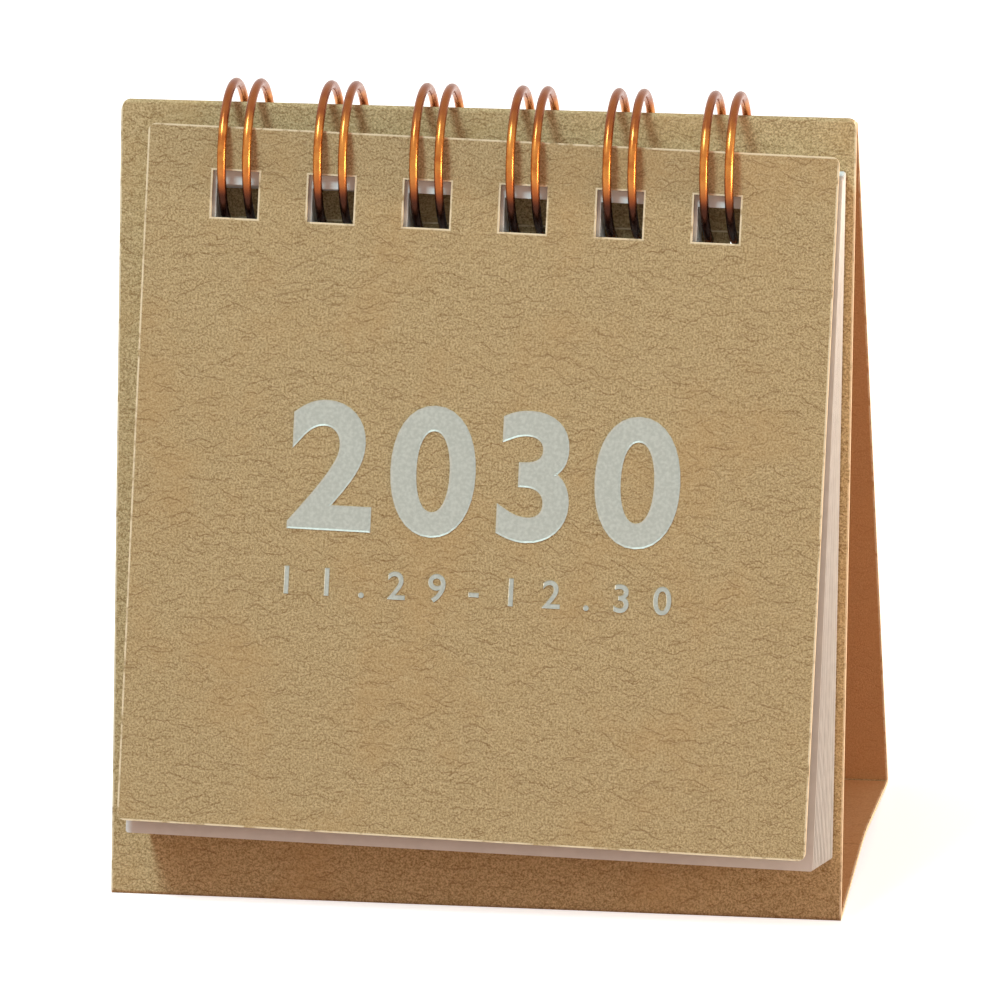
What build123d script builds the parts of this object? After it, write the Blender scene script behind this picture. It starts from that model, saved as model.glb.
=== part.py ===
# A small wire bound desk calendar: a folded card stand, a pad of loose leaves behind a cover,
# and one copper twin loop wire that threads the pad and both panels of the stand.
# Millimetres. X runs along the width, the reader looks from minus Y, Z is up, the table is Z = 0.

import os
from math import asin, cos, degrees, radians, sin, sqrt, tan

from build123d import *

os.makedirs("parts", exist_ok=True)

# Stand: one scored card, folded at the top, along both feet and at the middle of the base.
stand_w = 64.8
stand_h = 68.1
lean_deg = 13.8
card_t = 0.4
crease_fit = 0.03
foot_flat = 0.05
ridge_rise = 1.4
crease_band = 4.8
stand_corner_r = 0.8
stand_hole_drop = 11.85

# Binding wire: three loops to the inch, each loop a pair of legs joined at a rounded tip.
loop_pitch = 8.467
loop_count = 6
wire_d = 0.82
wire_sides = 6
ring_r = 6.35
ring_show = 1.4
ring_back = 0.35
leg_spacing = 2.2
root_bend_r = 0.9
root_start_deg = 24.0
tip_deg = 15.0
end_stub = 0.6
row_shift = -0.33

# Sheets: the cover and the leaves share one punched outline.
sheet_w = 60.7
sheet_h = 61.0
cover_corner_r = 0.7
leaf_corner_r = 0.25
hole_side = 4.1
hole_drop = 3.83
sheet_off_row = 1.26
leaf_count = 14
leaf_t = 0.18
leaf_pitch = 0.215
leaf_play = 0.29
leaf_top_drop = 3.3
leaf_trim = 0.9
leaf_climb = 0.1
leaf_fan_deg = 2.0
leaf_skew_deg = 1.1
fan_power = 1.3
pad_gap = 0.2
cover_t = 0.35
cover_gap = 0.22
cover_top_drop = 2.04
cover_tilt_deg = 3.3
cover_skew_deg = 1.3
stack_level = 7.4

# Overrun of a cutting block past the card it cuts.
over = 1.0

lean = radians(lean_deg)
wire_r = wire_d / 2
row_half = loop_pitch * (loop_count - 1) / 2

# Section of the stand, in the YZ plane: every crease turns about its inside corner.
top_z = stand_h - card_t
foot_z = card_t - foot_flat
foot_y = (top_z - foot_z) * tan(lean)
panel_len = (top_z - foot_z) / cos(lean)
ridge = asin(ridge_rise / sqrt(foot_y**2 + ridge_rise**2))
base_len = foot_y / cos(ridge) - crease_band / 2 / cos(ridge)

apex = Vector(0, 0, top_z)
front_foot = Vector(0, -foot_y, foot_z)
rear_foot = Vector(0, foot_y, foot_z)
down_front = Vector(0, -sin(lean), -cos(lean))
out_front = Vector(0, -cos(lean), sin(lean))
down_rear = Vector(0, sin(lean), -cos(lean))
out_rear = Vector(0, cos(lean), sin(lean))
along_base_front = Vector(0, cos(ridge), sin(ridge))
along_base_rear = Vector(0, -cos(ridge), sin(ridge))
under_base_front = Vector(0, sin(ridge), -cos(ridge))
under_base_rear = Vector(0, -sin(ridge), -cos(ridge))
seat_r = card_t + crease_fit
seat_run = sqrt(seat_r**2 - card_t**2)


def arc_point(centre, radius, deg):
    """A point on a circle in the YZ plane; the angle starts at plus Y and climbs to plus Z."""
    return centre + Vector(0, radius * cos(radians(deg)), radius * sin(radians(deg)))


def across(*edges):
    """Extrude a closed YZ outline over the full width of the card."""
    section = make_face(list(edges))
    return extrude(section, amount=stand_w / 2, dir=(1, 0, 0), both=True)


def punch(down, out, crease):
    """The row of square holes through one panel, as blocks along its normal."""
    seat = crease + down * stand_hole_drop + Vector(row_shift, 0, 0)
    plane = Plane(origin=seat, x_dir=(1, 0, 0), z_dir=out)
    with BuildPart() as blocks:
        with BuildSketch(plane):
            with GridLocations(loop_pitch, 0, loop_count, 1):
                Rectangle(hole_side, hole_side)
        extrude(amount=card_t + over, both=True)
    return blocks.part


def corner_blocks(down, out, crease):
    """What the rounded outer corners of the top fold take away from one panel."""
    plane = Plane(origin=crease - down * card_t, x_dir=out.cross(down), z_dir=out)
    with BuildPart() as blocks:
        with BuildSketch(plane):
            with Locations((0, over / 2 - stand_corner_r)):
                Rectangle(stand_w + over, stand_corner_r * 2 + over)
            with Locations((0, -stand_h / 2)):
                RectangleRounded(stand_w, stand_h, stand_corner_r, mode=Mode.SUBTRACT)
        extrude(amount=card_t * 2 + over, both=True)
    return blocks.part


table = Box(
    stand_w + over, foot_y * 3, card_t * 2, align=(Align.CENTER, Align.CENTER, Align.MAX)
)

# Front panel: it carries the rounded top fold and the rounded front foot.
top_from = 180 - lean_deg
top_to = lean_deg - 90
foot_from = degrees(ridge)
foot_to = -180 - lean_deg
front_card = across(
    Line(apex, front_foot),
    Line(front_foot, arc_point(front_foot, card_t, foot_from)),
    ThreePointArc(
        arc_point(front_foot, card_t, foot_from),
        arc_point(front_foot, card_t, (foot_from + foot_to) / 2),
        arc_point(front_foot, card_t, foot_to),
    ),
    Line(front_foot + out_front * card_t, apex + out_front * card_t),
    ThreePointArc(
        apex + out_front * card_t,
        arc_point(apex, card_t, (top_from + top_to) / 2),
        apex + down_rear * card_t,
    ),
    Line(apex + down_rear * card_t, apex),
)
front_holes = punch(down_front, out_front, apex)
front_corners = corner_blocks(down_front, out_front, apex)
rear_corners = corner_blocks(down_rear, out_rear, apex)
with BuildPart() as stand_front_panel:
    add(front_card)
    add([table, front_holes, front_corners, rear_corners], mode=Mode.SUBTRACT)

# Rear panel: it hangs on the top fold and carries the rounded rear foot.
rear_from = 180 - degrees(ridge)
rear_to = 360 + lean_deg
rear_card = across(
    Line(apex + down_rear * seat_r, rear_foot),
    Line(rear_foot, arc_point(rear_foot, card_t, rear_from)),
    ThreePointArc(
        arc_point(rear_foot, card_t, rear_from),
        arc_point(rear_foot, card_t, (rear_from + rear_to) / 2),
        arc_point(rear_foot, card_t, rear_to),
    ),
    Line(rear_foot + out_rear * card_t, apex + out_rear * card_t + down_rear * seat_run),
    ThreePointArc(
        apex + out_rear * card_t + down_rear * seat_run,
        apex + (out_rear + down_rear).normalized() * seat_r,
        apex + down_rear * seat_r,
    ),
)
rear_holes = punch(down_rear, out_rear, apex)
with BuildPart() as stand_rear_panel:
    add(rear_card)
    add([table, rear_holes, rear_corners], mode=Mode.SUBTRACT)


def base_half(foot, along, under):
    """One half of the base, from its seat round the foot crease to the middle band."""
    return across(
        Line(foot + along * seat_r, foot + along * base_len),
        Line(foot + along * base_len, foot + along * base_len + under * card_t),
        Line(foot + along * base_len + under * card_t, foot + under * card_t + along * seat_run),
        ThreePointArc(
            foot + under * card_t + along * seat_run,
            foot + (under + along).normalized() * seat_r,
            foot + along * seat_r,
        ),
    )


front_half = base_half(front_foot, along_base_front, under_base_front)
with BuildPart() as stand_base_front:
    add(front_half)
    add(table, mode=Mode.SUBTRACT)

rear_half = base_half(rear_foot, along_base_rear, under_base_rear)
with BuildPart() as stand_base_rear:
    add(rear_half)
    add(table, mode=Mode.SUBTRACT)

# Middle band of the base: the softly rounded crease that lets the two halves fold up together.
band_half = crease_band / 2 - crease_fit
crest_r = crease_band / 2 / sin(ridge)
crest = Vector(0, 0, foot_z + (foot_y - crease_band / 2) * tan(ridge) - crest_r * cos(ridge))
band_deg = degrees(asin(band_half / crest_r))
band = across(
    ThreePointArc(
        arc_point(crest, crest_r, 90 + band_deg),
        arc_point(crest, crest_r, 90),
        arc_point(crest, crest_r, 90 - band_deg),
    ),
    Line(
        arc_point(crest, crest_r, 90 - band_deg),
        arc_point(crest, crest_r - card_t, 90 - band_deg),
    ),
    ThreePointArc(
        arc_point(crest, crest_r - card_t, 90 - band_deg),
        arc_point(crest, crest_r - card_t, 90),
        arc_point(crest, crest_r - card_t, 90 + band_deg),
    ),
    Line(
        arc_point(crest, crest_r - card_t, 90 + band_deg),
        arc_point(crest, crest_r, 90 + band_deg),
    ),
)
with BuildPart() as stand_base_crease:
    add(band)

# Binding wire: one unbroken wire. It runs along the inside of the tent, bends up through the
# front holes, rounds the top fold, comes down through the rear holes to a tip, and returns.
# Its round section is drawn with a few flats, which keeps the many loops light.
ring = Vector(0, ring_back, stand_h - ring_r + ring_show)
leg_half = leg_spacing / 2


def on_ring(x, deg):
    """A point on the loop; the angle starts straight down and climbs towards the reader."""
    return ring + Vector(x, -ring_r * sin(radians(deg)), -ring_r * cos(radians(deg)))


def round_ring(deg):
    """The way the wire runs at that angle."""
    return Vector(0, -cos(radians(deg)), sin(radians(deg)))


tip_at = 360 - tip_deg
mid_at = (root_start_deg + tip_at) / 2
climb = round_ring(root_start_deg)
turn = round_ring(tip_at)
side = Vector(1, 0, 0)
slant = sqrt(2) / 2


def root_bend(x, way):
    """The quarter bend between the straight root and a leg; way is +1 into it, -1 out of it."""
    hub = on_ring(x, root_start_deg) - side * root_bend_r * way
    foot = hub - climb * root_bend_r
    knee = hub + (side * way - climb) * root_bend_r * slant
    return foot, knee, on_ring(x, root_start_deg)


runs = []
last = None
for loop in range(loop_count):
    middle = row_shift - row_half + loop * loop_pitch
    left, right = middle - leg_half, middle + leg_half
    foot, knee, start = root_bend(left, 1)
    runs.append(Line(last if last else foot - side * end_stub, foot))
    runs.append(ThreePointArc(foot, knee, start))
    runs.append(ThreePointArc(start, on_ring(left, mid_at), on_ring(left, tip_at)))
    tip = on_ring(middle, tip_at) + turn * leg_half
    runs.append(ThreePointArc(on_ring(left, tip_at), tip, on_ring(right, tip_at)))
    foot, knee, start = root_bend(right, -1)
    runs.append(ThreePointArc(on_ring(right, tip_at), on_ring(right, mid_at), start))
    runs.append(ThreePointArc(start, knee, foot))
    last = foot
runs.append(Line(last, last + side * end_stub))

with BuildPart() as binding_wire:
    with BuildLine() as route:
        add(runs)
    with BuildSketch(Plane(origin=route.line @ 0, z_dir=route.line % 0)):
        RegularPolygon(wire_r, wire_sides)
    sweep(path=route.line, clean=False)

# Least gap of the wire to itself, on points: a loop's tip against the root bends beside it,
# and the two legs of one pair against each other.
samples = 40
tip_points = [runs[3] @ (i / samples) for i in range(samples + 1)]
root_points = [runs[r] @ (i / samples) for r in (0, 1, 5, 6) for i in range(samples + 1)]
tip_gap = min((a - b).length for a in tip_points for b in root_points) - wire_d
print("least gap of the wire to itself, mm:", round(min(tip_gap, leg_spacing - wire_d), 3))


def sheet(tilt_deg, skew_deg, top_drop, level_out, thickness, play, trim, corner_r):
    """One punched sheet hung on the loops. level_out is its distance from the inside of the
    front panel at the stack level; the tilt splays it, the skew turns it in its own plane, and
    the trim shortens the strip above its holes."""
    tilt, skew = radians(tilt_deg), radians(skew_deg)
    down = down_front * cos(tilt) + out_front * sin(tilt)
    out = out_front * cos(tilt) - down_front * sin(tilt)
    hole_mid = hole_drop + hole_side / 2 - trim
    height = sheet_h - trim
    along = top_drop + trim + hole_mid - stack_level
    middle = apex + down_front * stack_level + out_front * level_out + down * along
    plane = Plane(
        origin=middle + side * (row_shift + play),
        x_dir=side * cos(skew) + down * sin(skew),
        z_dir=out,
    )
    with BuildPart() as made:
        with BuildSketch(plane):
            with Locations((sheet_off_row, hole_mid - height / 2)):
                RectangleRounded(sheet_w, height, corner_r)
            with GridLocations(loop_pitch, 0, loop_count, 1):
                Rectangle(hole_side, hole_side, mode=Mode.SUBTRACT)
        extrude(amount=thickness / 2, both=True)
    return made.part


pieces = {
    "stand_front_panel": stand_front_panel.part,
    "stand_rear_panel": stand_rear_panel.part,
    "stand_base_front": stand_base_front.part,
    "stand_base_rear": stand_base_rear.part,
    "stand_base_crease": stand_base_crease.part,
    "binding_wire": binding_wire.part,
}

# Leaves, from the one next to the stand to the one behind the cover: each next leaf sits one
# pitch farther out, splays and turns a little more, and hangs a little higher.
level = card_t + pad_gap + leaf_t / 2
for number in range(leaf_count, 0, -1):
    share = (leaf_count - number) / (leaf_count - 1)
    fan = leaf_fan_deg * share**fan_power
    hang = leaf_top_drop - leaf_climb * share
    pieces[f"leaf_{number:02d}"] = sheet(
        fan, leaf_skew_deg * share, hang, level, leaf_t, leaf_play, leaf_trim, leaf_corner_r
    )
    level += leaf_pitch

level += (leaf_t + cover_t) / 2 + cover_gap - leaf_pitch
cover = sheet(
    cover_tilt_deg, cover_skew_deg, cover_top_drop, level, cover_t, 0, 0, cover_corner_r
)
pieces["cover"] = cover

# The part stands with the middle of its footprint on the origin.
front_y = cover.bounding_box().min.Y
rear_y = stand_rear_panel.part.bounding_box().max.Y
centre = Location((0, -(front_y + rear_y) / 2, 0))
for name, solid in pieces.items():
    placed = solid.moved(centre)
    placed.label = name
    export_step(placed, f"parts/{name}.step")

print("shift to the middle of the footprint, mm:", round(-(front_y + rear_y) / 2, 4))
print("apex crease z:", round(top_z, 4), "feet y, z:", round(foot_y, 4), round(foot_z, 4))
print("ring centre y, z:", round(ring.Y, 4), round(ring.Z, 4), "base half:", round(base_len, 4))
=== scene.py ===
# %% [markdown]
# A small wire bound desk calendar, dressed for its picture.
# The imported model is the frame: every sheet, panel and loop already stands at its real place in
# metres. This lesson gives each of them its paper, card or metal, swaps the plain wire for a
# smooth one, presses plain numbers into the cover, and sets up the table, the light and the camera.

import math
import random

import bmesh
import bpy
from mathutils import Matrix, Vector


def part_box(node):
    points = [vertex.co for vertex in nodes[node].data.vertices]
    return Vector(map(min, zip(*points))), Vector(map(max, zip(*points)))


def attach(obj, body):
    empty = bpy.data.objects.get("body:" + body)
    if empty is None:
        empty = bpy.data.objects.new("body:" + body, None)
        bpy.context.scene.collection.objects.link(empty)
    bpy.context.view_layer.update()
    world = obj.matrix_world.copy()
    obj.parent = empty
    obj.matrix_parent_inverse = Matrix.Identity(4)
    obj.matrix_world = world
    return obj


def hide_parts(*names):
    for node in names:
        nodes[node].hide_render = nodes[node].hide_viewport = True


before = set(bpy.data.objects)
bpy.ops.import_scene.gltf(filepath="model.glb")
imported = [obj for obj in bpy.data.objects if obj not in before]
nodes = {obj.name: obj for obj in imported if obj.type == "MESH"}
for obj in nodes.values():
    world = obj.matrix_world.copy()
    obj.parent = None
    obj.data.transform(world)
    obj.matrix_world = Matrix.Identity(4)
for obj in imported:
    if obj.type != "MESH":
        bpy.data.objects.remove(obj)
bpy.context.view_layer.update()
scene = bpy.context.scene
scene.view_settings.view_transform = "Standard"
MM = 0.001

# %% [markdown]
# The camera looks from a little to the right and from above, through a long lens, so the sides of
# the tent stay almost parallel. Its place is given as a turn round a point inside the tent, which
# is easier to read and to correct than three bare coordinates. The small roll is the photographer's.

# %% Camera
FOLD_Y = 2.7038
AIM = Vector((0.31, FOLD_Y, 31.92)) * MM
CAMERA_TURN, CAMERA_RISE, CAMERA_ROLL = (math.radians(d) for d in (9.39, 19.63, -1.29))
CAMERA_AWAY = 943.58 * MM
LENS_PX, FRAME_PX = 10703, 1000


def camera_axes(turn, rise, roll):
    """Right, up and backward axes of a camera that looks at its aim."""
    back = Vector((math.sin(turn) * math.cos(rise), -math.cos(turn) * math.cos(rise), math.sin(rise)))
    right = Vector((0, 0, 1)).cross(back).normalized()
    up = back.cross(right)
    rolled = right * math.cos(roll) + up * math.sin(roll)
    return rolled, back.cross(rolled), back


lens = bpy.data.cameras.new("desk_camera")
lens.sensor_width = 36
lens.lens = LENS_PX / FRAME_PX * lens.sensor_width
lens.clip_start, lens.clip_end = 0.05, 20
camera = bpy.data.objects.new("desk_camera", lens)
scene.collection.objects.link(camera)
axes = camera_axes(CAMERA_TURN, CAMERA_RISE, CAMERA_ROLL)
turn = Matrix(axes).transposed().to_4x4()
camera.matrix_world = Matrix.Translation(AIM + axes[2] * CAMERA_AWAY) @ turn
scene.camera = camera
print("camera lens mm:", round(lens.lens, 1))

# %% [markdown]
# Materials are small graphs. These helpers keep the cells below short: one adds a node, sets its
# values and wires its inputs in one go, the others are the sums and mixes that every paper needs.


# %% Node helpers
def new_material(name):
    """An empty material with a Principled shader wired to its output."""
    material = bpy.data.materials.new(name)
    material.use_nodes = True
    tree = material.node_tree
    tree.nodes.clear()
    output = tree.nodes.new("ShaderNodeOutputMaterial")
    shader = tree.nodes.new("ShaderNodeBsdfPrincipled")
    tree.links.new(shader.outputs["BSDF"], output.inputs["Surface"])
    return material, tree, shader


def put(tree, kind, values=None, **settings):
    """Add a node; values go to its inputs by name or number, as constants or as links."""
    node = tree.nodes.new(kind)
    for key, value in settings.items():
        setattr(node, key, value)
    for key, value in (values or {}).items():
        if isinstance(value, bpy.types.NodeSocket):
            tree.links.new(value, node.inputs[key])
        else:
            node.inputs[key].default_value = value
    return node


def maths(tree, operation, *terms):
    """One Math node; the terms are numbers or sockets."""
    node = put(tree, "ShaderNodeMath", dict(enumerate(terms)), operation=operation)
    return node.outputs[0]


def fade(tree, value, low, high):
    """0 below low, 1 above high, smooth between."""
    node = put(
        tree,
        "ShaderNodeMapRange",
        {"Value": value, "From Min": low, "From Max": high},
        interpolation_type="SMOOTHSTEP",
    )
    return node.outputs["Result"]


def tint(tree, share, first, second):
    """Mix two colours, given as sockets or as linear RGB."""
    node = put(tree, "ShaderNodeMix", data_type="RGBA")
    for socket, value in ((node.inputs[0], share), (node.inputs[6], first), (node.inputs[7], second)):
        if isinstance(value, bpy.types.NodeSocket):
            tree.links.new(value, socket)
        else:
            socket.default_value = value if isinstance(value, float) else (*value, 1)
    return node.outputs[2]


def paint(red, green, blue):
    """A colour as read off a screen, 0 to 255, in linear light."""
    return tuple(
        (c / 255 / 12.92) if c <= 10 else ((c / 255 + 0.055) / 1.055) ** 2.4 for c in (red, green, blue)
    )


print("helpers ready")

# %% [markdown]
# Kraft card is unbleached pulp. Close up it is a fine speckle of pale and dark grain with slow cloudy
# patches, crossed by short dark fibres that lie mostly along the sheet. The speckle is noise. For the
# fibres the sheet is split into random cells, and every cell that is picked draws one bent stroke
# through its middle, turned a little by the cell's own random number.

# %% Kraft grain as a node group
def kraft_group():
    """Colour and height of plain kraft card, from a position in millimetres."""
    group = bpy.data.node_groups.new("kraft_grain", "ShaderNodeTree")
    group.interface.new_socket("Place", in_out="INPUT", socket_type="NodeSocketVector")
    group.interface.new_socket("Colour", in_out="OUTPUT", socket_type="NodeSocketColor")
    group.interface.new_socket("Height", in_out="OUTPUT", socket_type="NodeSocketFloat")
    place = put(group, "NodeGroupInput").outputs["Place"]
    out = put(group, "NodeGroupOutput")
    at = put(group, "ShaderNodeSeparateXYZ", {0: place}).outputs

    def noise(scale, detail, roughness=0.6):
        return put(
            group,
            "ShaderNodeTexNoise",
            {"Vector": place, "Scale": scale, "Detail": detail, "Roughness": roughness},
        ).outputs["Fac"]

    cloud, speck, grit = noise(0.09, 3.0), noise(5.6, 3.0, 0.75), noise(12.0, 2.0)
    wave = maths(group, "MULTIPLY", maths(group, "SUBTRACT", noise(1.3, 2.0), 0.5), 0.75)

    def fibres(cell_x, cell_z, half_length, half_width, picked, seed):
        """One bent stroke in each picked cell."""
        u = maths(group, "DIVIDE", maths(group, "ADD", at["X"], seed), cell_x)
        v = maths(group, "DIVIDE", maths(group, "ADD", maths(group, "ADD", at["Z"], at["Y"]), wave), cell_z)
        grid = put(group, "ShaderNodeCombineXYZ", {"X": u, "Y": v}).outputs[0]
        cells = put(group, "ShaderNodeTexVoronoi", {"Vector": grid, "Scale": 1.0}, voronoi_dimensions="2D")
        off = put(
            group, "ShaderNodeVectorMath", {0: grid, 1: cells.outputs["Position"]}, operation="SUBTRACT"
        ).outputs[0]
        off = put(group, "ShaderNodeSeparateXYZ", {0: off}).outputs
        luck = put(group, "ShaderNodeSeparateColor", {0: cells.outputs["Color"]}).outputs
        dx, dz = maths(group, "MULTIPLY", off["X"], cell_x), maths(group, "MULTIPLY", off["Y"], cell_z)
        slope = maths(group, "MULTIPLY", maths(group, "SUBTRACT", luck[0], 0.5), 1.3)
        bend = maths(group, "MULTIPLY", maths(group, "SUBTRACT", luck[1], 0.5), 1.1)
        rise = maths(group, "ADD", slope, maths(group, "MULTIPLY", bend, dx))
        across = maths(group, "ABSOLUTE", maths(group, "SUBTRACT", dz, maths(group, "MULTIPLY", rise, dx)))
        line = maths(group, "SUBTRACT", 1.0, fade(group, across, half_width * 0.3, half_width))
        ends = fade(group, maths(group, "ABSOLUTE", dx), half_length * 0.6, half_length)
        line = maths(group, "MULTIPLY", line, maths(group, "SUBTRACT", 1.0, ends))
        return maths(group, "MULTIPLY", line, maths(group, "LESS_THAN", luck[2], picked))

    long_hair = fibres(3.2, 1.3, 1.7, 0.075, 0.42, 3.0)
    short_hair = fibres(1.3, 0.7, 0.7, 0.07, 0.7, 41.0)
    pale_hair = fibres(1.1, 0.6, 0.55, 0.07, 0.6, 83.0)
    faint, strong = maths(group, "MULTIPLY", short_hair, 0.45), maths(group, "MULTIPLY", long_hair, 0.55)
    hair = maths(group, "MAXIMUM", faint, strong)

    pale, dark = paint(212, 190, 146), paint(138, 113, 71)
    rust, straw, warm = paint(124, 92, 54), paint(214, 193, 152), paint(184, 150, 101)
    colour = tint(group, fade(group, speck, 0.3, 0.7), dark, pale)
    colour = tint(group, maths(group, "MULTIPLY", fade(group, cloud, 0.45, 0.7), 0.4), colour, warm)
    colour = tint(group, maths(group, "MULTIPLY", fade(group, grit, 0.56, 0.72), 0.5), colour, straw)
    colour = tint(group, maths(group, "MULTIPLY", pale_hair, 0.35), colour, straw)
    colour = tint(group, hair, colour, rust)
    height = maths(group, "ADD", maths(group, "MULTIPLY", speck, 0.6), maths(group, "MULTIPLY", grit, 0.4))
    height = maths(group, "SUBTRACT", height, maths(group, "MULTIPLY", hair, 0.4))
    group.links.new(colour, out.inputs["Colour"])
    group.links.new(height, out.inputs["Height"])
    return group


kraft = kraft_group()
print("kraft group nodes:", len(kraft.nodes))

# %% [markdown]
# The sheets are punched and cut, and every cut leaves a thin pale burr. The pale band is also a painted
# highlight where the cut edge catches the light. The graph finds it from the piece's own drawing: it turns a
# point into the sheet's two directions, measures how far it is from the outline and from the nearest square
# hole, and lightens the last tenth of a millimetre.

# %% Pale burr and painted edge highlight along the cuts
LOOP_PITCH, LOOP_COUNT = 8.467, 6
HOLE_SIDE = 4.1
ROW_X = -0.33


def burr_and_edge_highlight(tree, along, down, outline, hole_at, wide):
    """1 on the burr and its painted edge highlight. along and down are sockets in mm; outline is (middle,
    half) in each direction.
    """
    (mid_u, half_u), (mid_v, half_v) = outline
    from_mid_u = maths(tree, "ABSOLUTE", maths(tree, "SUBTRACT", along, mid_u))
    from_mid_v = maths(tree, "ABSOLUTE", maths(tree, "SUBTRACT", down, mid_v))
    from_side = maths(tree, "SUBTRACT", from_mid_u, half_u)
    from_ends = maths(tree, "SUBTRACT", from_mid_v, half_v)
    border = fade(tree, maths(tree, "MAXIMUM", from_side, from_ends), -wide, -wide * 0.45)
    hole_u, hole_v = hole_at
    row = maths(tree, "SUBTRACT", along, hole_u)
    cell = maths(tree, "DIVIDE", row, LOOP_PITCH)
    cell = maths(tree, "SUBTRACT", maths(tree, "FRACT", cell), 0.5)
    across = maths(tree, "ABSOLUTE", maths(tree, "MULTIPLY", cell, LOOP_PITCH))
    off_row = maths(tree, "ABSOLUTE", maths(tree, "SUBTRACT", down, hole_v))
    gap = maths(tree, "SUBTRACT", maths(tree, "MAXIMUM", across, off_row), HOLE_SIDE / 2)
    rim = maths(tree, "SUBTRACT", 1.0, fade(tree, gap, wide * 0.45, wide))
    in_row = maths(tree, "LESS_THAN", maths(tree, "ABSOLUTE", row), LOOP_PITCH * LOOP_COUNT / 2)
    return maths(tree, "MAXIMUM", border, maths(tree, "MULTIPLY", rim, in_row))


print("burr measured from", LOOP_COUNT, "holes")

# %% [markdown]
# One function makes every kraft finish. The cards differ only in how their drawing lies in space, so
# each gives the turn that lays it flat, and its outline and holes in that plane. Cut walls are found by
# the way they face: sideways, or along the sheet. The side of the stand's card that faces into the tent
# is tinted redder than its outside as painted warm bounce light, and the panel behind the pad is a shade
# paler.

# %% Kraft finishes
LEAN, COVER_TILT, COVER_SKEW = 13.8, 3.3, 1.3
COVER_LEAN = LEAN + COVER_TILT
PALE_CUT_AND_HIGHLIGHT, INNER_WARM_BOUNCE = paint(244, 228, 194), paint(214, 160, 108)
BURR_AND_HIGHLIGHT_WIDE, PANEL_TONE = 0.2, 1.12


def lie(lean, skew=0.0):
    """The turn of a sheet that leans back by lean degrees and hangs askew by skew degrees."""
    turn = Matrix.Rotation(-math.radians(lean), 3, "X") @ Matrix.Rotation(math.radians(skew), 3, "Y")
    return turn


def in_mm(tree, coords):
    """Object coordinates in millimetres."""
    scale = put(tree, "ShaderNodeVectorMath", {0: coords, 1: (1000.0, 1000.0, 1000.0)}, operation="MULTIPLY")
    return scale.outputs[0]


def kraft_finish(name, turn, origin, outline, hole_at, inside=None, tone=1.0):
    """A kraft card material whose grain, burr and painted edge highlight follow the card's own plane."""
    material, tree, shader = new_material(name)
    coords = put(tree, "ShaderNodeTexCoord")
    spot = in_mm(tree, coords.outputs["Object"])
    flat = put(
        tree,
        "ShaderNodeMapping",
        {"Vector": spot, "Location": origin, "Rotation": turn.to_euler("XYZ")},
        vector_type="TEXTURE",
    ).outputs[0]
    grain = put(tree, "ShaderNodeGroup", node_tree=kraft)
    tree.links.new(flat, grain.inputs["Place"])
    parts = put(tree, "ShaderNodeSeparateXYZ", {0: flat}).outputs
    burr_and_highlight = burr_and_edge_highlight(tree, parts["X"], parts["Z"], outline, hole_at, BURR_AND_HIGHLIGHT_WIDE)
    ragged = put(tree, "ShaderNodeTexNoise", {"Vector": spot, "Scale": 0.9, "Detail": 3.0}).outputs["Fac"]
    burr_and_highlight = maths(tree, "MULTIPLY", burr_and_highlight, fade(tree, ragged, 0.28, 0.52))
    facing = put(tree, "ShaderNodeSeparateXYZ", {0: coords.outputs["Normal"]}).outputs
    cut = maths(tree, "GREATER_THAN", maths(tree, "ABSOLUTE", facing["X"]), 0.7)
    tones = {0: grain.outputs["Colour"], 1: (tone, tone, tone)}
    colour = put(tree, "ShaderNodeVectorMath", tones, operation="MULTIPLY").outputs[0]
    if inside is None:
        straight = turn @ Vector((0, 1, 0))
        level = put(
            tree, "ShaderNodeVectorMath", {0: coords.outputs["Normal"], 1: straight}, operation="DOT_PRODUCT"
        ).outputs["Value"]
        cut = maths(tree, "MAXIMUM", cut, maths(tree, "LESS_THAN", maths(tree, "ABSOLUTE", level), 0.5))
    else:
        level = put(
            tree, "ShaderNodeVectorMath", {0: coords.outputs["Normal"], 1: inside}, operation="DOT_PRODUCT"
        ).outputs["Value"]
        # Painted warm bounce light: card faces that look into the tent are tinted redder.
        painted_bounce = maths(tree, "MULTIPLY", maths(tree, "GREATER_THAN", level, 0.5), 0.7)
        colour = tint(tree, painted_bounce, colour, INNER_WARM_BOUNCE)
    # Pale cut walls and burr band; the band is partly a painted edge highlight.
    pale = maths(tree, "MULTIPLY", maths(tree, "MAXIMUM", burr_and_highlight, cut), 0.9)
    tree.links.new(tint(tree, pale, colour, PALE_CUT_AND_HIGHLIGHT), shader.inputs["Base Color"])
    shader.inputs["Roughness"].default_value = 0.86
    shader.inputs["Specular IOR Level"].default_value = 0.25
    bump = put(
        tree, "ShaderNodeBump", {"Strength": 0.6, "Distance": 0.00008, "Height": grain.outputs["Height"]}
    )
    tree.links.new(bump.outputs["Normal"], shader.inputs["Normal"])
    return material


def dress(name, material):
    """Give a CAD piece its finish."""
    for slot in nodes[name].material_slots:
        slot.material = material


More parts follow.
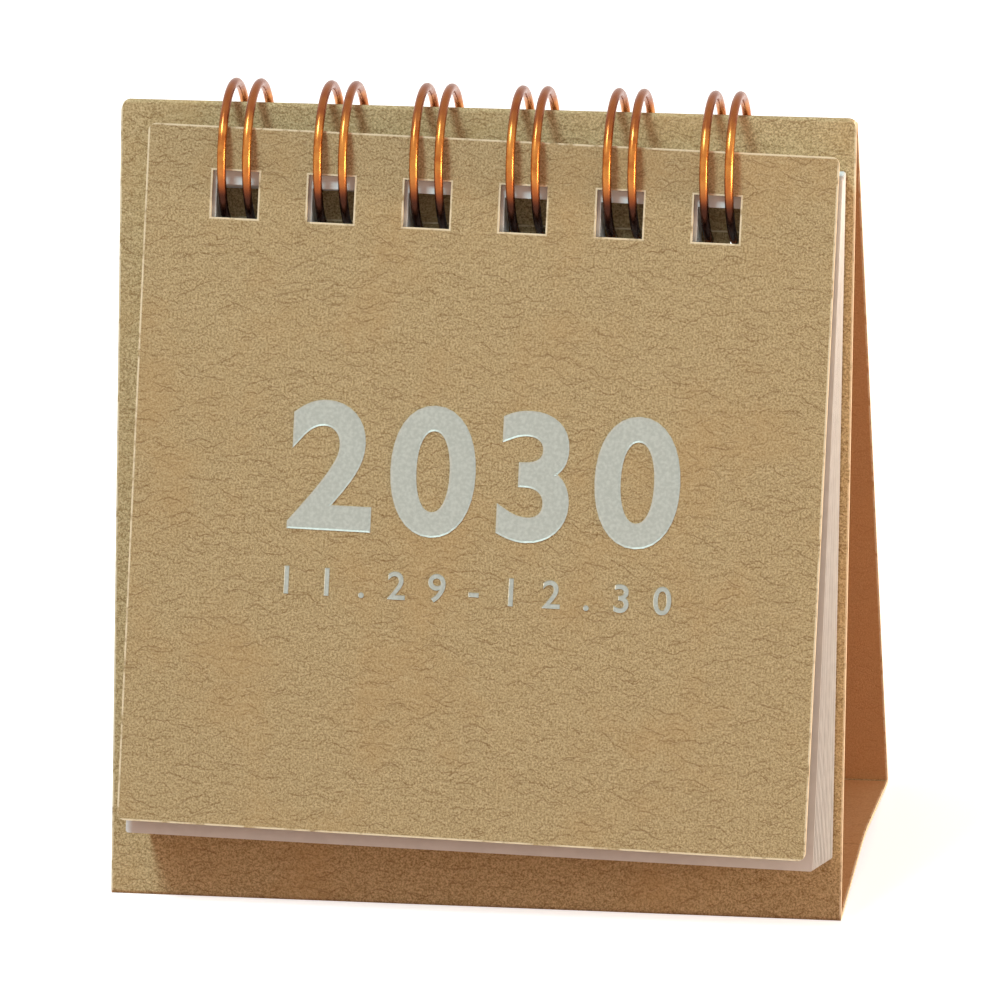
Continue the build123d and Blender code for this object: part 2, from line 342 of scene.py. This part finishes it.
SHEET_W, SHEET_H, HOLE_DROP, SHEET_OFF_ROW = 60.7, 61.0, 3.83, 1.26
STAND_HALF, FOLD_Z, STAND_HOLE_DROP = 32.4, 67.7, 11.85
NO_END = 500.0
cover_low, cover_high = (Vector(corner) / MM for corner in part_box("cover"))
cover_middle = (cover_low + cover_high) / 2
cover_turn = lie(COVER_LEAN, COVER_SKEW)
cover_holes = (-SHEET_OFF_ROW, SHEET_H / 2 - HOLE_DROP - HOLE_SIDE / 2)
cover_kraft = kraft_finish(
    "cover_kraft", cover_turn, cover_middle, ((0, SHEET_W / 2), (0, SHEET_H / 2)), cover_holes
)
fold = Vector((0, FOLD_Y, FOLD_Z))
stand_outline, stand_holes = ((0, STAND_HALF), (0, NO_END)), (ROW_X, -STAND_HOLE_DROP)
front_kraft = kraft_finish(
    "front_panel_kraft", lie(LEAN), fold, stand_outline, stand_holes, (0, 1, 0), PANEL_TONE
)
rear_kraft = kraft_finish("rear_panel_kraft", lie(-LEAN), fold, stand_outline, stand_holes, (0, -1, 0))
base_kraft = kraft_finish("base_kraft", lie(90), fold, stand_outline, (ROW_X, NO_END), (0, 0, 1))
dress("cover", cover_kraft)
dress("stand_front_panel", front_kraft)
dress("stand_rear_panel", rear_kraft)
for name in ("stand_base_front", "stand_base_rear", "stand_base_crease"):
    dress(name, base_kraft)
print("cover middle mm:", [round(v, 2) for v in cover_middle], "leans", COVER_LEAN)

# %% [markdown]
# The leaves are uncoated white paper. Seen edge on, a pad is a stack of fine lines, because no two
# sheets are cut alike, so each leaf gets its own slightly different grey, and a soft mottle with a
# fine bumpy tooth keeps a single sheet from looking like plastic.


# %% Leaf paper
def leaf_finish(name, shade):
    """White paper; shade moves its grey a little."""
    material, tree, shader = new_material(name)
    spot = in_mm(tree, put(tree, "ShaderNodeTexCoord").outputs["Object"])
    mottle = put(tree, "ShaderNodeTexNoise", {"Vector": spot, "Scale": 0.8, "Detail": 4.0}).outputs["Fac"]
    tooth = put(tree, "ShaderNodeTexNoise", {"Vector": spot, "Scale": 6.0, "Detail": 3.0}).outputs["Fac"]
    light, deep = paint(*(v + shade for v in (234, 238, 236))), paint(*(v + shade for v in (228, 232, 230)))
    colour = tint(tree, fade(tree, mottle, 0.35, 0.65), deep, light)
    tree.links.new(colour, shader.inputs["Base Color"])
    shader.inputs["Roughness"].default_value = 0.8
    shader.inputs["Specular IOR Level"].default_value = 0.3
    bump = put(tree, "ShaderNodeBump", {"Strength": 0.2, "Distance": 0.00003, "Height": tooth})
    tree.links.new(bump.outputs["Normal"], shader.inputs["Normal"])
    return material


LEAF_SHADES = (0, -7, 4, -3, 6, -10, 2)
leaf_papers = [leaf_finish(f"leaf_paper_{i + 1}", shade) for i, shade in enumerate(LEAF_SHADES)]
leaf_names = sorted(name for name in nodes if name.startswith("leaf_"))
for number, name in enumerate(leaf_names):
    dress(name, leaf_papers[number % len(leaf_papers)])
print(len(leaf_names), "leaves in", len(leaf_papers), "greys")

# %% [markdown]
# The binding is one long copper wire, bent into pairs of legs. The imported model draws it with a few
# flats, which is enough to weigh it and to knock against. Up close it has to be round, so it is swept
# again here: one loop is drawn as a curve, and Geometry Nodes give it a round section and repeat it
# along the row at the pitch of the holes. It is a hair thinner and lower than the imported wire, so that
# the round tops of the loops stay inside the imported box.

# %% One loop of the wire
RING_Y, RING_Z, RING_R = FOLD_Y + 0.35, 63.132, 6.35
LEG_HALF, WIRE_R, END_STUB, WIRE_SIDES = 1.1, 0.392, 0.6, 20
ROOT_BEND_R, ROOT_START, TIP_START = 0.9, 24.0, 345.0


def on_ring(x, degrees):
    """A point on the loop; the angle starts straight down and climbs towards the reader."""
    angle = math.radians(degrees)
    return Vector((x, RING_Y - RING_R * math.sin(angle), RING_Z - RING_R * math.cos(angle)))


def round_ring(degrees):
    """The way the wire runs at that angle."""
    angle = math.radians(degrees)
    return Vector((0, -math.cos(angle), math.sin(angle)))


def loop_route(steps=72, turns=10):
    """Points along one loop: half a root, a bend, a leg, the tip, and the same way back."""
    climb, side = round_ring(ROOT_START), Vector((1, 0, 0))
    hub = on_ring(-LEG_HALF, ROOT_START) - side * ROOT_BEND_R
    foot = hub - climb * ROOT_BEND_R
    left = [Vector((-LOOP_PITCH / 2, foot.y, foot.z))]
    for i in range(turns):
        angle = math.pi / 2 * i / turns
        left.append(hub + (side * math.sin(angle) - climb * math.cos(angle)) * ROOT_BEND_R)
    for i in range(steps):
        left.append(on_ring(-LEG_HALF, ROOT_START + (TIP_START - ROOT_START) * i / steps))
    onward = round_ring(TIP_START)
    for i in range(turns):
        angle = math.pi / 2 * i / turns
        left.append(on_ring(-LEG_HALF * math.cos(angle), TIP_START) + onward * LEG_HALF * math.sin(angle))
    crown = on_ring(0, TIP_START) + onward * LEG_HALF
    return left + [crown] + [Vector((-p.x, p.y, p.z)) for p in reversed(left)]


def path_object(name, points):
    """A mesh of bare edges, in metres, for Geometry Nodes to sweep along."""
    mesh = bpy.data.meshes.new(name)
    mesh.from_pydata([p * MM for p in points], [(i, i + 1) for i in range(len(points) - 1)], [])
    path = bpy.data.objects.new(name, mesh)
    scene.collection.objects.link(path)
    return path


wire = path_object("copper_wire", loop_route())
print("loop points:", len(wire.data.vertices))

# %% [markdown]
# Copper wire for bindings is drawn, lacquered and a little worn: golden orange along the front of the loops.
# The colour by height is painted light. Painted shade turns it brown and then dull dark brown on the lower
# part, where it runs into the punched holes, and a painted dark reflection makes it browner over the tops of
# the loops.
# Fine streaks break up the highlight.


# %% Copper
DARK_SHADE_FADE, BROWN_SHADE_FADE, TOPS_DARK_REFLECTION_FADE, TOPS_DARK_REFLECTION_SHARE = (61.6, 63.4), (62.0, 65.6), (67.4, 69.4), 0.75


def copper_finish():
    """Lacquered copper wire with painted shade low on the loops and a painted dark reflection over their
    tops.
    """
    material, tree, shader = new_material("copper_wire")
    spot = in_mm(tree, put(tree, "ShaderNodeTexCoord").outputs["Object"])
    wear_and_shade_noise = put(tree, "ShaderNodeTexNoise", {"Vector": spot, "Scale": 0.7, "Detail": 3.0}).outputs["Fac"]
    streak = put(tree, "ShaderNodeMapping", {"Vector": spot, "Scale": (9.0, 1.0, 1.0)}).outputs[0]
    streak = put(tree, "ShaderNodeTexNoise", {"Vector": streak, "Scale": 1.4, "Detail": 2.0}).outputs["Fac"]
    high = put(tree, "ShaderNodeSeparateXYZ", {0: spot}).outputs["Z"]
    high = maths(tree, "ADD", high, maths(tree, "MULTIPLY", wear_and_shade_noise, 1.2))
    colour = tint(tree, fade(tree, wear_and_shade_noise, 0.35, 0.7), paint(210, 134, 62), paint(178, 98, 42))
    # Painted shade: brown, then dull dark brown, low on the loops where the wire runs into the holes.
    colour = tint(tree, fade(tree, high, *BROWN_SHADE_FADE), paint(128, 62, 32), colour)
    colour = tint(tree, fade(tree, high, *DARK_SHADE_FADE), paint(62, 30, 18), colour)
    # Painted dark reflection: the tops of the loops are tinted browner.
    dark_reflection_on_tops = maths(tree, "MULTIPLY", fade(tree, high, *TOPS_DARK_REFLECTION_FADE), TOPS_DARK_REFLECTION_SHARE)
    tree.links.new(tint(tree, dark_reflection_on_tops, colour, paint(134, 68, 38)), shader.inputs["Base Color"])
    shader.inputs["Metallic"].default_value = 0.9
    rough = put(
        tree,
        "ShaderNodeMapRange",
        {"Value": streak, "From Min": 0.3, "From Max": 0.7, "To Min": 0.2, "To Max": 0.32},
    )
    tree.links.new(rough.outputs["Result"], shader.inputs["Roughness"])
    return material


copper = copper_finish()
print("copper nodes:", len(copper.node_tree.nodes))

# %% [markdown]
# The node tree copies the loop along a line of points, six at the pitch of the holes. The outer half
# roots are pulled in to short stubs by clamping their X, then a circle is swept along every copy, and
# the ends that meet in the middle of a root are merged, so the result is one wire again.


# %% Sweep and repeat the loop
def wire_tree():
    """Geometry Nodes: repeat a path along X and sweep a round section along it."""
    group = bpy.data.node_groups.new("twin_loop_wire", "GeometryNodeTree")
    group.interface.new_socket("Geometry", in_out="INPUT", socket_type="NodeSocketGeometry")
    group.interface.new_socket("Geometry", in_out="OUTPUT", socket_type="NodeSocketGeometry")
    for label, kind in (
        ("Loops", "NodeSocketInt"),
        ("Pitch", "NodeSocketFloat"),
        ("Middle", "NodeSocketFloat"),
        ("Wire Radius", "NodeSocketFloat"),
        ("Half Length", "NodeSocketFloat"),
        ("Sides", "NodeSocketInt"),
        ("Metal", "NodeSocketMaterial"),
    ):
        group.interface.new_socket(label, in_out="INPUT", socket_type=kind)
    given = put(group, "NodeGroupInput").outputs
    out = put(group, "NodeGroupOutput")
    loop = put(group, "GeometryNodeMeshToCurve", {"Mesh": given["Geometry"]}).outputs["Curve"]
    gaps = maths(group, "SUBTRACT", given["Loops"], 1.0)
    first = maths(group, "MULTIPLY", maths(group, "MULTIPLY", gaps, given["Pitch"]), -0.5)
    first = maths(group, "ADD", first, given["Middle"])
    line = put(
        group,
        "GeometryNodeMeshLine",
        {
            "Count": given["Loops"],
            "Start Location": put(group, "ShaderNodeCombineXYZ", {"X": first}).outputs[0],
            "Offset": put(group, "ShaderNodeCombineXYZ", {"X": given["Pitch"]}).outputs[0],
        },
    ).outputs["Mesh"]
    row = put(group, "GeometryNodeInstanceOnPoints", {"Points": line, "Instance": loop}).outputs[0]
    row = put(group, "GeometryNodeRealizeInstances", {"Geometry": row}).outputs[0]
    position = put(group, "GeometryNodeInputPosition").outputs[0]
    where = put(group, "ShaderNodeSeparateXYZ", {0: position}).outputs
    far_left = maths(group, "SUBTRACT", given["Middle"], given["Half Length"])
    far_right = maths(group, "ADD", given["Middle"], given["Half Length"])
    held = maths(group, "MINIMUM", maths(group, "MAXIMUM", where["X"], far_left), far_right)
    spot = put(group, "ShaderNodeCombineXYZ", {"X": held, "Y": where["Y"], "Z": where["Z"]}).outputs[0]
    row = put(group, "GeometryNodeSetPosition", {"Geometry": row, "Position": spot}).outputs[0]
    ring = put(
        group,
        "GeometryNodeCurvePrimitiveCircle",
        {"Resolution": given["Sides"], "Radius": given["Wire Radius"]},
    ).outputs["Curve"]
    tube = put(group, "GeometryNodeCurveToMesh", {"Curve": row, "Profile Curve": ring}).outputs["Mesh"]
    tube = put(group, "GeometryNodeMergeByDistance", {"Geometry": tube, "Distance": 0.00001}).outputs[0]
    tube = put(group, "GeometryNodeSetShadeSmooth", {"Geometry": tube}).outputs[0]
    tube = put(group, "GeometryNodeSetMaterial", {"Geometry": tube, "Material": given["Metal"]}).outputs[0]
    group.links.new(tube, out.inputs["Geometry"])
    return group


def set_inputs(modifier, values):
    """Set a modifier's inputs by the names in its tree."""
    for item in modifier.node_group.interface.items_tree:
        if item.in_out == "INPUT" and item.name in values:
            modifier[item.identifier] = values[item.name]


def settle(thing):
    """Replace an object's mesh by what its modifiers make of it."""
    view = bpy.context.evaluated_depsgraph_get()
    made = bpy.data.meshes.new_from_object(thing.evaluated_get(view))
    thing.modifiers.clear()
    thing.data = made
    return made


sweep = wire.modifiers.new("twin_loop_wire", "NODES")
sweep.node_group = wire_tree()
half_row = LOOP_PITCH * (LOOP_COUNT - 1) / 2 + LEG_HALF + ROOT_BEND_R + END_STUB
set_inputs(
    sweep,
    {
        "Loops": LOOP_COUNT,
        "Pitch": LOOP_PITCH * MM,
        "Middle": ROW_X * MM,
        "Wire Radius": WIRE_R * MM,
        "Half Length": half_row * MM,
        "Sides": WIRE_SIDES,
        "Metal": copper,
    },
)
mesh = settle(wire)
ends = bmesh.new()
ends.from_mesh(mesh)
bmesh.ops.holes_fill(ends, edges=[e for e in ends.edges if e.is_boundary])
bmesh.ops.recalc_face_normals(ends, faces=ends.faces)
loose = sum(not e.is_manifold for e in ends.edges)
ends.to_mesh(mesh)
ends.free()
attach(wire, "stand")
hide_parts("binding_wire")
print("wire faces:", len(mesh.polygons), "open edges:", loose)

# %% [markdown]
# A blunt punch tears card rather than cutting it. Here the upper edge of every hole in the front panel keeps
# a short frayed lip that the legs of the wire run through. Each one differs, so a loop with a seeded random
# number draws them, as thin ragged strips in the thickness of the card.

# %% Frayed lips in the front panel's holes
CARD_T, LIP_T, LIP_LONG, LIP_SHORT, LIP_STEPS = 0.4, 0.34, 1.25, 0.1, 80
LIP_SEED, LIP_LEAST, LEG_ROOM, LEG_TOUCH = 11, 0.82, 0.03, 0.18
fray = random.Random(LIP_SEED)
down_panel = Vector((0, -math.sin(math.radians(LEAN)), -math.cos(math.radians(LEAN))))
out_panel = Vector((0, -math.cos(math.radians(LEAN)), math.sin(math.radians(LEAN))))
lips = bmesh.new()
for hole in range(LOOP_COUNT):
    middle = ROW_X + (hole - (LOOP_COUNT - 1) / 2) * LOOP_PITCH
    edge = fold + down_panel * (STAND_HOLE_DROP - HOLE_SIDE / 2) + out_panel * CARD_T / 2
    rows = []
    for step in range(LIP_STEPS + 1):
        x = HOLE_SIDE * (step / LIP_STEPS - 0.5)
        beside_leg = all(
            not -WIRE_R - LEG_ROOM < x - leg < WIRE_R - LEG_TOUCH for leg in (-LEG_HALF, LEG_HALF)
        )
        reach = LIP_LONG * fray.uniform(LIP_LEAST, 1.0) if beside_leg else LIP_SHORT
        top = edge + Vector((middle + x, 0, 0)) - down_panel * LIP_SHORT
        tip = top + down_panel * (reach + LIP_SHORT) * (0.5 if step in (0, LIP_STEPS) else 1.0)
        half = out_panel * LIP_T / 2
        rows.append([lips.verts.new(p * MM) for p in (top - half, top + half, tip + half, tip - half)])
    for one, two in zip(rows, rows[1:]):
        for k in range(4):
            lips.faces.new((one[k], one[(k + 1) % 4], two[(k + 1) % 4], two[k]))
    lips.faces.new(rows[0])
    lips.faces.new(rows[-1])
bmesh.ops.recalc_face_normals(lips, faces=lips.faces)
lip_mesh = bpy.data.meshes.new("frayed_lips")
lips.to_mesh(lip_mesh)
lips.free()
whole = (0, NO_END)
lip_kraft = kraft_finish("lip_kraft", lie(LEAN), fold, (whole, whole), (ROW_X, NO_END), (0, 1, 0))
lip_mesh.materials.append(lip_kraft)
lip_object = bpy.data.objects.new("frayed_lips", lip_mesh)
scene.collection.objects.link(lip_object)
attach(lip_object, "stand")
print("lip faces:", len(lip_mesh.polygons))

# %% [markdown]
# The cover carries a plain year and a span of months, pressed in silver foil. Foil on rough card is matt and
# a little broken by the grain beneath, so it is only partly metal, with a fine speckle in colour and height.


# %% Silver foil
def foil_finish():
    """Matt silver foil, slightly broken by the card beneath."""
    material, tree, shader = new_material("silver_foil")
    spot = in_mm(tree, put(tree, "ShaderNodeTexCoord").outputs["Object"])
    speck = put(tree, "ShaderNodeTexNoise", {"Vector": spot, "Scale": 3.4, "Detail": 4.0}).outputs["Fac"]
    colour = tint(tree, fade(tree, speck, 0.35, 0.7), paint(176, 178, 168), paint(190, 192, 182))
    tree.links.new(colour, shader.inputs["Base Color"])
    shader.inputs["Metallic"].default_value = 0.35
    shader.inputs["Roughness"].default_value = 0.45
    bump = put(tree, "ShaderNodeBump", {"Strength": 0.25, "Distance": 0.00005, "Height": speck})
    tree.links.new(bump.outputs["Normal"], shader.inputs["Normal"])
    return material


foil = foil_finish()
print("foil nodes:", len(foil.node_tree.nodes))


# %% [markdown]
# Each line is typed with Blender's own font with a small chamfer, turned into a mesh, and fitted to its place
# on the sheet. Pressing is shown by a shallow dish: the chamfer is turned inside out, so that the rim of
# every stroke stands a little proud and slopes down to a flat floor.

# %% Pressed numbers
COVER_T = 0.35
RIM_UP, FLOOR_UP, BODY = 0.07, 0.02, 0.02


def typed(text, spacing, bold, rim):
    """A line of text as a thin chamfered body that lies in the XY plane."""
    curve = bpy.data.curves.new("typed_line", "FONT")
    curve.body, curve.space_character, curve.offset = text, spacing, bold
    curve.extrude, curve.bevel_depth, curve.bevel_resolution = BODY, rim, 0
    curve.resolution_u = 8
    thing = bpy.data.objects.new("typed_line", curve)
    scene.collection.objects.link(thing)
    view = bpy.context.evaluated_depsgraph_get()
    mesh = bpy.data.meshes.new_from_object(thing.evaluated_get(view))
    bpy.data.objects.remove(thing)
    return mesh


def extent(mesh, axis):
    """Lowest and highest coordinate of a mesh along one axis."""
    values = [v.co[axis] for v in mesh.vertices]
    return min(values), max(values)


def spaced(text, shape, bold, rim):
    """The spacing at which a line is shape times as wide as it is high."""
    widths = []
    for spacing in (1.0, 2.0):
        mesh = typed(text, spacing, bold, rim)
        (left, right), (low, high) = extent(mesh, 0), extent(mesh, 1)
        widths.append((right - left) / (high - low))
    return 1.0 + (shape - widths[0]) / (widths[1] - widths[0])


def press(name, text, left, right, base, height, bold, rim):
    """Type a line, fit it to its box on the cover, dish it, and lay it on the sheet."""
    shape = (right - left) / height
    mesh = typed(text, spaced(text, shape, bold, rim), bold, rim)
    (from_x, to_x), (from_y, to_y) = extent(mesh, 0), extent(mesh, 1)
    work = bmesh.new()
    work.from_mesh(mesh)
    bmesh.ops.remove_doubles(work, verts=work.verts, dist=1e-5)
    hidden = [v for v in work.verts if v.co.z < -BODY - rim / 2]
    bmesh.ops.delete(work, geom=hidden, context="VERTS")
    for v in work.verts:
        u = left + (v.co.x - from_x) / (to_x - from_x) * (right - left)
        up = base + (v.co.y - from_y) / (to_y - from_y) * height
        proud = FLOOR_UP if v.co.z > BODY + rim / 2 else RIM_UP if v.co.z > 0 else 0.0
        v.co = (cover_turn @ Vector((u, -COVER_T / 2 - proud, up)) + cover_middle) * MM
    for face in work.faces:
        face.smooth = False
    work.normal_update()
    backward = sum((cover_turn.inverted() @ f.normal).y * f.calc_area() for f in work.faces)
    if backward > 0:
        bmesh.ops.reverse_faces(work, faces=work.faces)
    work.to_mesh(mesh)
    work.free()
    mesh.materials.clear()
    mesh.materials.append(foil)
    number = bpy.data.objects.new(name, mesh)
    scene.collection.objects.link(number)
    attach(number, "cover")
    return number


year = press("foil_year", "2030", left=-16.5, right=17.9, base=-4.3, height=11.5, bold=0.016, rim=0.01)
months = press(
    "foil_months", "11.29-12.30", left=-16.5, right=17.6, base=-9.9, height=2.5, bold=0.0, rim=0.012
)
print("foil faces:", len(year.data.polygons), len(months.data.polygons))

# %% [markdown]
# The table is plain. The camera and the wire see it white, with the part's own shadow on it, but the
# light it throws back is that of warm wood, which gives the shaded card its reddish brown. The world
# does the same: white to look at, and a soft warm glow as a light.


# %% Floor and world
def looked_at(tree):
    """1 for rays that show a surface, 0 for rays that only carry light."""
    ray = put(tree, "ShaderNodeLightPath").outputs
    mirrored = maths(tree, "MAXIMUM", ray["Is Glossy Ray"], ray["Is Transmission Ray"])
    return maths(tree, "MAXIMUM", ray["Is Camera Ray"], mirrored)


def studio_floor(size, glow, bounce):
    """A large floor that keeps the shadow."""
    half = size / 2
    mesh = bpy.data.meshes.new("studio_floor")
    corners = [(-half, -half, 0), (half, -half, 0), (half, half, 0), (-half, half, 0)]
    mesh.from_pydata(corners, [], [(0, 1, 2, 3)])
    floor = bpy.data.objects.new("studio_floor", mesh)
    scene.collection.objects.link(floor)
    material, tree, shader = new_material("studio_floor")
    seen = looked_at(tree)
    tree.links.new(tint(tree, seen, bounce, paint(246, 246, 246)), shader.inputs["Base Color"])
    shader.inputs["Roughness"].default_value = 0.9
    shader.inputs["Specular IOR Level"].default_value = 0.0
    shader.inputs["Emission Color"].default_value = (1, 1, 1, 1)
    tree.links.new(maths(tree, "MULTIPLY", seen, glow), shader.inputs["Emission Strength"])
    mesh.materials.append(material)


def studio_world(ambient):
    """White to look at, and a soft warm light."""
    world = bpy.data.worlds.new("studio_world")
    world.use_nodes = True
    tree = world.node_tree
    tree.nodes.clear()
    colour = tint(tree, looked_at(tree), ambient, (1.0, 1.0, 1.0))
    sky = put(tree, "ShaderNodeBackground", {"Color": colour, "Strength": 1.0})
    output = put(tree, "ShaderNodeOutputWorld")
    tree.links.new(sky.outputs[0], output.inputs["Surface"])
    scene.world = world


studio_floor(size=6.0, glow=0.6, bounce=(0.5, 0.27, 0.19))
studio_world(ambient=(0.56, 0.43, 0.38))
print("floor and world ready")

# %% [markdown]
# One broad cool lamp hangs high on the left in front: the short soft shadows of the loops fall to the
# right. A weak warm lamp at the right shines into the open end of the tent, and the room does the rest.


# %% Lamps
def lamp(name, place, aim, size, power, colour):
    """A square area lamp at a place in millimetres, turned towards its aim."""
    light = bpy.data.lights.new(name, "AREA")
    light.size, light.energy, light.color = size * MM, power, colour
    thing = bpy.data.objects.new(name, light)
    thing.location = Vector(place) * MM
    thing.rotation_euler = (Vector(aim) - Vector(place)).to_track_quat("-Z", "Y").to_euler()
    scene.collection.objects.link(thing)


COOL, WARM = (0.66, 0.93, 1.0), (1.0, 0.84, 0.68)
lamp("key_lamp", place=(-330, -400, 900), aim=(0, 0, 35), size=260, power=7.6, colour=COOL)
lamp("side_lamp", place=(330, -30, 40), aim=(0, 4, 25), size=120, power=1.2, colour=WARM)
